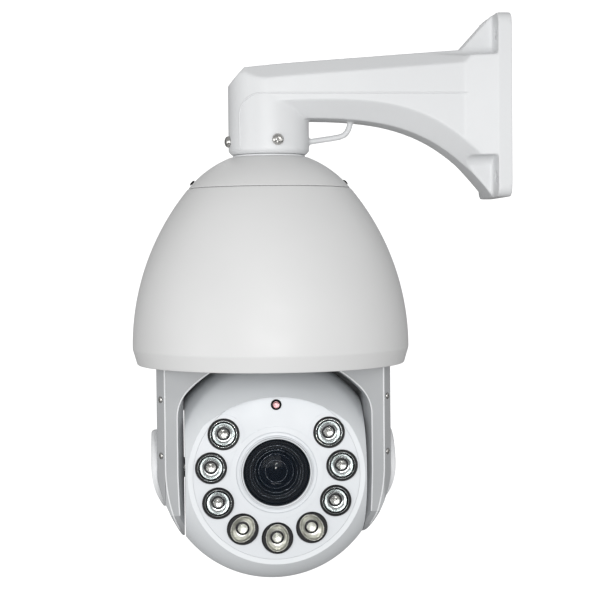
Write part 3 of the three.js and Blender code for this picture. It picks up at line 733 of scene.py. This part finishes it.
def cap_arc(inset, count):
    return arc((1.1, 170.7), 82 - inset, 39.5, 68.2, count)


def top_cap():
    seat = SHIELD_TOP_Z + GAP
    outline = [(64.3, seat), *cap_arc(0, 24), (30, CAP_TOP_Z), (19.5, CAP_TOP_Z), (19.5, CAP_TOP_Z - 4)]
    outline += [*cap_arc(CAP_WALL, 12)[::-1], (61, seat)]
    item = turned(softened(outline, 0.5), sides=160)
    for angle in (90, 270):
        for radius, depth in ((1.9, 9), (3.1, 0.4)):
            hole = disc_tool(radius, -depth, 9, "front", 24)
            carve(item, turn_about_pan(cap_screw_place(hole), angle))
    finished(item, "top_cap_shell", "fixed_part", "shield_plastic", ("top_cap",))


def cap_screw_place(item):
    lean = Matrix.Rotation(math.radians(CAP_SCREW_LEAN), 4, "X")
    return moved(item, Matrix.Translation(placed((0, CAP_SCREW_Y, CAP_SCREW_Z))) @ lean)


def button_screw(head, rise, shank, length):
    """A button-head screw along the front axis, seated at height zero, with a hexagon socket."""
    edge = rise * 0.18
    outline = [(0, -length), (shank, -length), (shank, 0), (head, 0), (head, edge)]
    outline += [(head * math.cos(a), rise * (0.18 + 0.82 * math.sin(a))) for a in
                (math.radians(d) for d in (15, 30, 45, 58, 68))]
    outline += [(head * 0.3, rise), (0, rise)]
    screw = turned(outline, "front", 40)
    return carve(screw, disc_tool(head * 0.42, rise * 0.25, rise + 1, "front", 6))


def lock_screws():
    for k, angle in enumerate(LOCK_ANGLES):
        screw = button_screw(head=4.6, rise=3.6, shank=2.4, length=6.5)
        screw.data.transform(Matrix.Translation((0, -(HEAD_R + 0.1) * MM, LOCK_Z * MM)))
        turn_about_pan(screw, angle)
        finished(screw, f"lock_screw_head_{k + 1}", "fixed_part", "stainless_steel",
                 (f"lock_screw_{k + 1}",))


def cap_screws():
    for k, angle in enumerate((270, 90)):
        screw = button_screw(head=2.6, rise=1.4, shank=1.5, length=5)
        turn_about_pan(cap_screw_place(screw), angle)
        finished(screw, f"cap_screw_head_{k + 1}", "fixed_part", "black_plastic", (f"cap_screw_{k + 1}",))


# ---------- yoke ----------
def arm_outline(inset, top, steps=32):
    """An arm seen from the side: upright edges and a round lower end."""
    half, radius = YOKE_HALF_Y - inset, YOKE_END_R - inset
    start = math.degrees(math.acos(half / radius))
    return [(-half, top), *arc((0, 0), radius, 180 + start, 360 - start, steps), (half, top)]


def skirt(growth=0.0):
    """The yoke seen from the front: upright sides that turn inwards below the tilt axis."""
    centre = (SKIRT_X - SKIRT_TURN_R, SKIRT_TURN_Z)
    turn = arc(centre, SKIRT_TURN_R + growth, 0, -SKIRT_LEAN, 14)
    end_x, end_z = turn[-1]
    low_x = end_x - (end_z - SKIRT_LOW_Z) * math.tan(math.radians(SKIRT_LEAN))
    half = [(SKIRT_X + growth, 140), *turn, (low_x, SKIRT_LOW_Z)]
    return pushed_y(half + [(-x, z) for x, z in reversed(half)], -60, 60)


def opening_side(extra=0.0):
    """One side of the yoke's opening, from below. Growth rounds its corner and leans its lower end."""
    radius = BALL_R + BALL_ROOM + extra * 0.3
    inner, corner = YOKE_INNER_X + extra, 6.0 + extra * 5.0
    centre = (inner - corner, math.sqrt((radius - corner) ** 2 - (inner - corner) ** 2))
    first = math.degrees(math.atan2(centre[1], centre[0]))
    last = math.degrees(math.acos(MOUTH_X / radius))
    side = [(inner - max(0.0, extra) * 0.45, -OPENING_DEPTH), (inner, 0)]
    side += [*arc(centre, corner, 0, first, 8), *arc((0, 0), radius, first, last, 16)[1:]]
    return side + [(MOUTH_X, YOKE_TOP_Z + 0.9)]


def opening(extra=0.0):
    side = opening_side(extra)
    return side + [(-x, z) for x, z in reversed(side)]


def flared_mouth():
    """Widens the yoke's opening towards the front, which leaves a sloping band round it."""
    ends = ((-YOKE_HALF_Y - 1, YOKE_FLARE * 10 / 9), (9 - YOKE_HALF_Y, -0.01))
    return skinned([[(x, y, z) for x, z in opening(extra)] for y, extra in ends])


def ball_clearance():
    """The room the ball turns in. Behind the tilt axis its top follows the ball."""
    passage = pushed_y(opening(), -70, 70)
    carve(passage, block((-80, 0, 20), (80, 80, 120)))
    radius = BALL_R + BALL_ROOM
    ball = turned([(0, -radius), *arc((0, 0), radius, -85, 85, 40), (0, radius)], sides=96)
    keep_inside(ball, block((-YOKE_INNER_X, -REACH, -REACH), (YOKE_INNER_X, REACH, REACH)))
    return unite(passage, ball)


def yoke():
    table = disc_tool(TABLE_R, YOKE_TOP_Z + 0.8, TABLE_TOP_Z, sides=160)
    hub = disc_tool(HUB_R, YOKE_TOP_Z + 0.8, HUB_TOP_Z, sides=64)
    arms = pushed_x(arm_outline(0, YOKE_TOP_Z + 1), -YOKE_SEAM_X + 0.2, YOKE_SEAM_X - 0.2)
    keep_inside(arms, skirt())
    carve(arms, ball_clearance(), flared_mouth())
    for side in (1, -1):
        near, far = sorted((side * (YOKE_INNER_X + YOKE_WALL), side * (YOKE_SEAM_X + 1)))
        pocket = pushed_x(arm_outline(YOKE_WALL, YOKE_TOP_Z - 3), near, far)
        carve(arms, keep_inside(pocket, skirt(-2.0)))
        near, far = sorted((side * 70, side * 80))
        carve(arms, disc_tool(14.3, near, far, "x", 48))
    soften_edges(arms, 0.9)
    bake(arms)
    unite(arms, table, hub)
    carve(arms, block((76.8, -13.5, YOKE_TOP_Z - 6), (83.3, 13.5, TABLE_TOP_Z + 1)))
    carve(arms, disc_tool(13, 90, 125), disc_tool(16.4, 110.6, 125))
    # The frame wears the darkened copy of the housing paint, as painted shade.
    finished(arms, "yoke_frame", "pan_part", "housing_paint", ("yoke",), material="yoke_shaded_paint")


def seam_bead(mirror, face):
    """The thin lip of the arm along its side cover, lighter than the yoke as a painted highlight on the seam.
    It leans inwards below the tilt axis.
    """
    line, steps = [], 40
    for k in range(steps + 1):
        z = SEAM_LOW_Z + (YOKE_TOP_Z - 1.0 - SEAM_LOW_Z) * k / steps
        x = YOKE_SEAM_X - 0.4 - max(0.0, SEAM_LEAN_Z - z) ** 2 / (2 * SEAM_LEAN_R)
        reach = min(YOKE_HALF_Y, math.sqrt(YOKE_END_R ** 2 - min(z, 0.0) ** 2))
        line.append((x, face * (reach - 0.1), z))
    end = "front" if face < 0 else "rear"
    finished(bar(line, SEAM_BEAD_R, 10), f"{side_name(mirror)}_seam_lip_{end}", "pan_part",
             "housing_paint", material="lip_highlight_paint", crease=180, mirror=mirror)


def inner_highlight_bead(mirror):
    """A thin bead round the front of the ball's opening, lighter than the yoke as a painted highlight on the
    opening's edge.
    """
    rise = opening_side(YOKE_FLARE)[1:-1]
    outline = [(rise[0][0] - lean, z) for z, lean in LIP_TAIL] + rise
    line = bar([(x, -YOKE_HALF_Y + 0.15, z) for x, z in outline], LIP_R, 10)
    finished(line, f"{side_name(mirror)}_inner_highlight_bead", "pan_part", "housing_paint", material="lip_highlight_paint",
             crease=180, mirror=mirror)


def cover_screw_place(item, z):
    lean = math.atan2(YOKE_OUTER_X - YOKE_SEAM_X, CHAMFER_Y)
    spot = placed(((YOKE_SEAM_X + YOKE_OUTER_X) / 2, -(YOKE_HALF_Y - CHAMFER_Y / 2), z))
    return moved(item, Matrix.Translation(spot) @ Matrix.Rotation(math.pi / 2 - lean, 4, "Z"))


def cover_ring(inset, x, top):
    return [(x, y, z) for y, z in arm_outline(inset, top)]


def side_cover(mirror):
    top, inner_top = YOKE_TOP_Z - 0.2, YOKE_TOP_Z - 3
    shell = skinned([cover_ring(0, YOKE_SEAM_X, top), cover_ring(CHAMFER_Y, YOKE_OUTER_X, top)])
    keep_inside(shell, skirt())
    hollow = skinned([
        cover_ring(3.6, YOKE_SEAM_X - 1, inner_top),
        cover_ring(CHAMFER_Y + 2, YOKE_OUTER_X - COVER_WALL, inner_top),
    ])
    keep_inside(hollow, skirt(-COVER_WALL))
    soften_edges(shell, 0.8, 3, 20)
    bake(shell)
    carve(shell, hollow, disc_tool(BOSS_R + GAP, 80, 100, "x", 32))
    for z in COVER_SCREW_Z:
        for radius, depth in ((1.6, 8), (2.7, 0.7)):
            carve(shell, cover_screw_place(disc_tool(radius, -depth, 4, "front", 24), z))
    side = side_name(mirror)
    # The cover wears the darkened copy of the housing paint, as painted shade.
    finished(shell, f"{side}_cover_shell", "pan_part", "housing_paint", (f"{side}_side_cover",),
             material="yoke_shaded_paint", mirror=mirror)


def cover_screws(mirror):
    side = side_name(mirror)
    for k, z in enumerate(COVER_SCREW_Z):
        screw = cover_screw_place(button_screw(head=2.3, rise=0.9, shank=1.3, length=5), z)
        finished(screw, f"{side}_cover_screw_head_{k + 1}", "pan_part", "stainless_steel",
                 (f"{side}_cover_screw_{k + 1}",), mirror=mirror)


def bearing_cap(mirror):
    """A round cap that follows the cover's slope, with a boss that plugs into the cover."""
    inside = YOKE_OUTER_X + 0.1
    outline = [(0, 80), (CAP_R, 80), (CAP_R, CAP_OUTER_X - 2.5), (CAP_R - 1.6, CAP_OUTER_X - 0.7)]
    outline += [(20, CAP_OUTER_X - 0.1), (0, CAP_OUTER_X)]
    cap = turned(softened(outline, 1.2, closed=False), "x", 96)
    keep_inside(cap, skirt(CAP_GROWTH))
    soften_edges(cap, 0.8, 3, 25)
    bake(cap)
    carve(cap, keep_inside(skirt(GAP), block((70, -60, -110), (inside, 60, 140))))
    unite(cap, disc_tool(BOSS_R, 86.5, inside + 1, "x", 32))
    side = side_name(mirror)
    finished(cap, f"{side}_axle_cap", "pan_part", "housing_paint", (f"{side}_bearing_cap",),
             material="cap_paint", mirror=mirror)


# ---------- ball ----------
def ball_solid(inset, rings=64):
    """The ball with flat sides and a flat face, drawn in by the inset."""
    radius = BALL_R - inset
    rim = math.degrees(math.asin(FACE_Y / radius))
    face = arc((0, 0), radius, 90, rim, 16)[1:]
    back = arc((0, 0), radius, rim, -90, rings)[1:-1]
    ball = turned([(0, radius), *face, *back, (0, -radius)], "front", ROUND)
    half = BALL_HALF_X - (BALL_SIDE_WALL if inset else 0.0)
    return keep_inside(ball, block((-half, -REACH, -REACH), (half, REACH, REACH)))


def ball_shell(front):
    shell = ball_solid(0)
    if front:
        carve(shell, disc_tool(BROW_R, FACE_Y, REACH, "front", 128, (0, 0, BROW_Z)))
        keep_inside(shell, block((-REACH, -REACH, -REACH), (REACH, BALL_SEAM_Y, REACH)))
    else:
        keep_inside(shell, block((-REACH, BALL_SEAM_Y + GAP, -REACH), (REACH, REACH, REACH)))
    soften_edges(shell, 0.9, 3, 25)
    bake(shell)
    carve(shell, ball_solid(BALL_WALL))
    carve(shell, disc_tool(AXLE_HOLE_R, -80, 80, "x", 32))
    end = "front" if front else "rear"
    finished(shell, f"ball_{end}_cover", "tilt_part", "housing_paint", (f"ball_{end}_shell",))


# ---------- face, window, lamps ----------
def lamp_shift(angle):
    a = math.radians(angle)
    return (LAMP_RING * math.sin(a), 0.0, LENS_Z - LAMP_RING * math.cos(a))


def at_lamp(item, angle, across=1.0, along=1.0):
    """Moves a piece from the pivot to its lamp's seat, squeezed across and along the radius."""
    seat = Matrix.Translation(Vector(lamp_shift(angle)) * MM) @ Matrix.Translation(PIVOT)
    turn = Matrix.Rotation(-math.radians(angle), 4, "Y")
    return moved(item, seat @ turn @ Matrix.Diagonal((across, 1, along, 1)))


def face_plate():
    outline = [
        (0, FACE_BACK_Y), (75, FACE_BACK_Y), (75, FACE_Y), (31.6, FACE_Y), (30.8, FACE_Y - 0.9),
        (28.6, FACE_Y - 0.9), (28.0, FACE_Y + 0.3), (0, FACE_Y + 0.3),
    ]
    plate = turned(softened(outline, 0.3, closed=False, steps=2), "front", 160, LENS_SPOT)
    ring = [(31.4, FACE_Y - 1), (35.6, FACE_Y - 1), (35.6, FACE_STEP_Y), (31.4, FACE_STEP_Y)]
    unite(plate, turned(ring, "front", 160, LENS_SPOT))
    for angle in (LAMP_ANGLES[0], LAMP_ANGLES[-1]):
        collar = disc_tool(15.3, FACE_Y - 1, FACE_STEP_Y, "front", 96, lamp_shift(angle))
        carve(collar, disc_tool(28.4, FACE_Y - 2, FACE_Y + 2, "front", 160, LENS_SPOT))
        unite(plate, collar)
    keep_inside(plate, disc_tool(FACE_R, 40, 70, "front", 192))
    soften_edges(plate, 0.3, 2, 35)
    bake(plate)
    carve(plate, disc_tool(WINDOW_R + GAP, 40, 70, "front", 96, LENS_SPOT))
    carve(plate, disc_tool(4.2, 40, 70, "front", 32, (0, 0, SENSOR_Z)))
    for angle in LAMP_ANGLES:
        carve(plate, disc_tool(LAMP_HOLE_R, 40, 70, "front", 48, lamp_shift(angle)))
    finished(plate, "face_cover", "tilt_part", "face_plastic", ("face_plate",), crease=30)


def lens_piece(name, outline, slot, replaced=(), material=None, size=0.25):
    item = turned(softened(outline, size, closed=outline[0][0] > 0), "front", 96, LENS_SPOT)
    finished(item, name, "tilt_part", slot, replaced, material=material, crease=25)


def lens_hood():
    """The stepped black tunnel behind the window."""
    outline = []
    for k in range(4):
        radius, depth = HOOD_R - k * HOOD_STEP, HOOD_Y - k * HOOD_STEP
        outline += [(radius, depth), (radius - 0.35, depth + 0.3), (radius - 0.75, depth)]
    outline += [(14.9, 48.4), (14.9, 45.6), (HOOD_R, 45.6)]
    lens_piece("lens_hood", outline, "black_plastic", size=0.05)


def lens_ring(name, radius, depth, thickness):
    angles = [math.radians(degrees) for degrees in range(0, 360, 36)]
    outline = [(radius + thickness * math.cos(a), depth + thickness * math.sin(a)) for a in angles]
    finished(turned(outline, "front", 96, LENS_SPOT), name, "tilt_part", "inner_plastic",
             material="lens_edge", crease=180)


def window():
    edge = WINDOW_EDGE_R
    lens_piece("window_pane", [(0, 55.4), (edge, 55.4), (edge, 56.6), (0, 56.6)], "dark_glass",
               ("front_window",), "window_glass")
    rim = [(edge + 0.2, 54.4), (WINDOW_R, 54.4), (WINDOW_R, 57.9), (edge + 0.2, 57.6)]
    lens_piece("window_rim", rim, "face_plastic")
    baffle = [(HOOD_R, 52.7), (25.6, 52.7), (25.6, 55.1), (24.9, 55.1), (24.0, 53.8), (22.2, 53.8),
              (21.8, 53.4), (HOOD_R, 53.4)]
    lens_piece("lens_baffle", baffle, "black_plastic", size=0.12)
    lens_hood()
    for ring in LENS_RINGS:
        lens_ring(*ring)
    element = [(0, ELEMENT_BACK_Y), (ELEMENT_R, ELEMENT_BACK_Y), (ELEMENT_R, ELEMENT_EDGE_Y)]
    element += dome(ELEMENT_R, ELEMENT_EDGE_Y, ELEMENT_RISE, 10, 8)
    lens_piece("lens_front_element", element, "dark_glass", size=0.0)


def squeeze(index):
    """How much a lamp is squeezed across and along the radius. The bottom ones are oval."""
    return (OVAL_ACROSS, OVAL_ALONG) if index in OVAL_LAMPS else (1.0, 1.0)


def lamp_carrier():
    plate = turned([(30.6, 51.6), (62, 51.6), (62, 53.7), (30.6, 53.7)], "front", 96, LENS_SPOT)
    inner = LAMP_MOUTH_R
    for index, angle in enumerate(LAMP_ANGLES):
        collar = turned([(0, 52), (11.9, 52), (11.9, 58.0), (11.5, 58.5), (0, 58.5)], "front", 48)
        mouth = turned([(0, 50), (inner - 0.5, 50), (inner - 0.5, 54.2), (inner - 0.3, 56.0),
                        (inner, 58.0), (inner + 0.4, 59), (0, 59)], "front", 48)
        unite(plate, at_lamp(collar, angle))
        carve(plate, at_lamp(mouth, angle, *squeeze(index)))
    carve(plate, disc_tool(3.4, 50, 60, "front", 32, (0, 0, SENSOR_Z)))
    finished(plate, "lamp_bezel", "tilt_part", "black_plastic", ("lamp_carrier",), crease=25)


def lamp(index, angle):
    """A bright cup, a dark collar at its bottom and a clear dome over the emitter."""
    oval = index in OVAL_LAMPS
    number = index + 1
    dish = [(0, 51.3), (10.0, 51.3), (10.15, 57.2), (9.95, 57.2), (9.6, 56.1), (9.0, 55.0), (8.0, 54.0),
            (6.8, 53.2), (5.6, 52.8), (0, 52.6)]
    finished(at_lamp(turned(dish, "front", 48), angle, *squeeze(index)), f"lamp_reflector_{number}",
             "tilt_part", "lamp_optic", material="satin_reflector" if oval else "reflector", crease=50)
    collar = [(3.8, 52.65), (5.4, 52.8), (5.3, 53.9), (4.6, 54.2), (3.8, 54.0)]
    finished(at_lamp(turned(collar, "front", 40), angle), f"lamp_collar_{number}", "tilt_part",
             "black_plastic", crease=50)
    if not oval:
        chip = turned([(0, 52.62), (3.6, 52.62), (3.6, 52.9), (0, 52.9)], "front", 32)
        finished(at_lamp(chip, angle), f"lamp_chip_{number}", "tilt_part", "stainless_steel")
    bulb = [(0, 52.95), (BULB_R, 52.95), (BULB_R, BULB_EDGE_Y), *dome(BULB_R, BULB_EDGE_Y, BULB_RISE, 12, 11)]
    finished(at_lamp(turned(bulb, "front", 40), angle), f"lamp_bulb_{number}", "tilt_part", "lamp_optic",
             (f"lamp_lens_{number}",), crease=60)


def light_sensor():
    spot = (0, 0, SENSOR_Z)
    ring = [(2.7, 51.2), (3.0, 51.2), (3.0, 54.2), (3.9, 54.2), (3.9, 57.4), (3.4, 57.8), (2.9, 57.6),
            (2.7, 57.0)]
    finished(turned(ring, "front", 40, spot), "sensor_ring", "tilt_part", "black_plastic")
    radius, edge = SENSOR_DOME_R, SENSOR_DOME_Y
    lens = [(0, 55.0), (radius, 55.0), (radius, edge), *dome(radius, edge, 0.9, 15, 15)]
    finished(turned(lens, "front", 32, spot), "sensor_dome", "tilt_part", "sensor_optic", ("light_sensor",))
    cell = turned([(0, 54.2), (radius, 54.2), (radius, 54.8), (0, 54.8)], "front", 32, spot)
    finished(cell, "sensor_cell", "tilt_part", "sensor_optic", material="satin_reflector")


# ---------- the CAD nodes that stay ----------
def dress_kept_nodes():
    slots = {entry["node"]: entry["material_slot"] for entry in frame["record"]["subparts"]}
    for name, item in frame["nodes"].items():
        item.data.materials.clear()
        item.data.materials.append(MATERIALS[slots[name]])


# ---------- stage, light, camera ----------
def backdrop():
    """A floor that sweeps up into a wall behind the object."""
    material, tree, shader = node_material("backdrop_paper")
    tone = blended_colour(tree, noise(tree, 1.5), (0.97, 0.97, 0.97), (1.0, 1.0, 1.0))
    shader.inputs["Base Color"].default_value = (PAPER_GREY, PAPER_GREY, PAPER_GREY, 1.0)
    shader.inputs["Roughness"].default_value = 0.9
    # The paper is washed to white for the camera alone, so it throws no light back on the object.
    seen = tree.nodes.new("ShaderNodeLightPath")
    tree.links.new(tone, shader.inputs["Emission Color"])
    tree.links.new(seen.outputs["Is Camera Ray"], shader.inputs["Emission Strength"])
    floor_z, far_y, sweep = -1.8, 3.2, 1.0
    profile = [(-5.0, floor_z), (far_y - sweep, floor_z)]
    profile += [(far_y - sweep + sweep * math.sin(a), floor_z + sweep - sweep * math.cos(a)) for a in
                (math.radians(d) for d in range(10, 91, 10))]
    profile += [(far_y, 5.0)]
    vertices = [(x, y, z) for y, z in profile for x in (-7.0, 7.0)]
    faces = [(2 * k, 2 * k + 1, 2 * k + 3, 2 * k + 2) for k in range(len(profile) - 1)]
    mesh = bpy.data.meshes.new("backdrop")
    mesh.from_pydata(vertices, [], faces)
    mesh.polygons.foreach_set("use_smooth", [True] * len(mesh.polygons))
    item = bpy.data.objects.new("backdrop", mesh)
    bpy.context.scene.collection.objects.link(item)
    item.data.materials.append(material)


def area_light(name, place_m, target_m, size, power):
    data = bpy.data.lights.new(name, "AREA")
    data.shape = "RECTANGLE"
    data.size, data.size_y = size
    data.energy = power
    item = bpy.data.objects.new(name, data)
    item.location = place_m
    aim = Vector(target_m) - Vector(place_m)
    item.rotation_euler = aim.to_track_quat("-Z", "Y").to_euler()
    bpy.context.scene.collection.objects.link(item)


def lights():
    world = bpy.data.worlds.new("studio")
    bpy.context.scene.world = world
    world.use_nodes = True
    tree = world.node_tree
    sky = tree.nodes["Background"]
    sky.inputs["Color"].default_value = (1, 1, 1, 1)
    # The camera sees white beyond the paper, while the object is lit by less.
    seen = tree.nodes.new("ShaderNodeLightPath")
    tree.links.new(spread(tree, seen.outputs["Is Camera Ray"], SKY_ON_OBJECT, 1.0), sky.inputs["Strength"])
    target = (PAN_X, 0, TILT_Z + 0.1)
    area_light("key_front", (PAN_X - 0.2, -1.9, TILT_Z + 0.2), target, (1.2, 0.6), 11.5)
    area_light("key_high", (PAN_X - 0.1, -1.8, TILT_Z + 0.62), target, (1.0, 0.25), 2.5)
    area_light("fill_left", (PAN_X - 1.7, -0.9, TILT_Z), target, (1.0, 1.0), 9)
    area_light("fill_right", (PAN_X + 1.7, -0.9, TILT_Z), target, (1.0, 1.0), 4)
    area_light("fill_back", (PAN_X, 1.8, TILT_Z + 1.5), target, (1.2, 0.6), 6)
    # Small lights that make the bright points in the lens: name, height over the tilt axis, size, power.
    for name, height, size, power in (("spark_high", 0.03, (0.03, 0.03), 0.9),
                                      ("spark_mid", -0.095, (0.026, 0.026), 0.9),
                                      ("spark_low", -0.62, (0.34, 0.05), 0.9)):
        area_light(name, (PAN_X + 0.075, -1.2, TILT_Z + height), (PAN_X, 0, TILT_Z), size, power)


def camera():
    """Stands a little left of the head and above it, with a long lens."""
    azimuth, pitch, roll = (math.radians(a) for a in (CAMERA_AZIMUTH, CAMERA_PITCH, CAMERA_ROLL))
    back = Vector((math.sin(azimuth), -math.cos(azimuth), 0))
    right = Vector((math.cos(azimuth), math.sin(azimuth), 0))
    data = bpy.data.cameras.new("camera")
    data.sensor_width = 36
    data.lens = CAMERA_LENS
    item = bpy.data.objects.new("camera", data)
    place = Vector((PAN_X, 0, TILT_Z + CAMERA_ABOVE)) + back * CAMERA_DISTANCE + right * CAMERA_ASIDE
    turn = (Matrix.Rotation(azimuth, 4, "Z") @ Matrix.Rotation(math.pi / 2 + pitch, 4, "X")
            @ Matrix.Rotation(roll, 4, "Z"))
    item.matrix_world = Matrix.Translation(place) @ turn
    bpy.context.scene.collection.objects.link(item)
    bpy.context.scene.camera = item
    bpy.context.scene.view_settings.view_transform = "Standard"


dress_kept_nodes()
wall_bracket()
neck_adapter()
lock_screws()
top_cap()
cap_screws()
sunshield()
yoke()
for left in (False, True):
    side_cover(left)
    for facing in (-1, 1):
        seam_bead(left, facing)
    inner_highlight_bead(left)
    cover_screws(left)
    bearing_cap(left)
ball_shell(True)
ball_shell(False)
face_plate()
window()
lamp_carrier()
for number, lamp_angle in enumerate(LAMP_ANGLES):
    lamp(number, lamp_angle)
light_sensor()
backdrop()
lights()
camera()
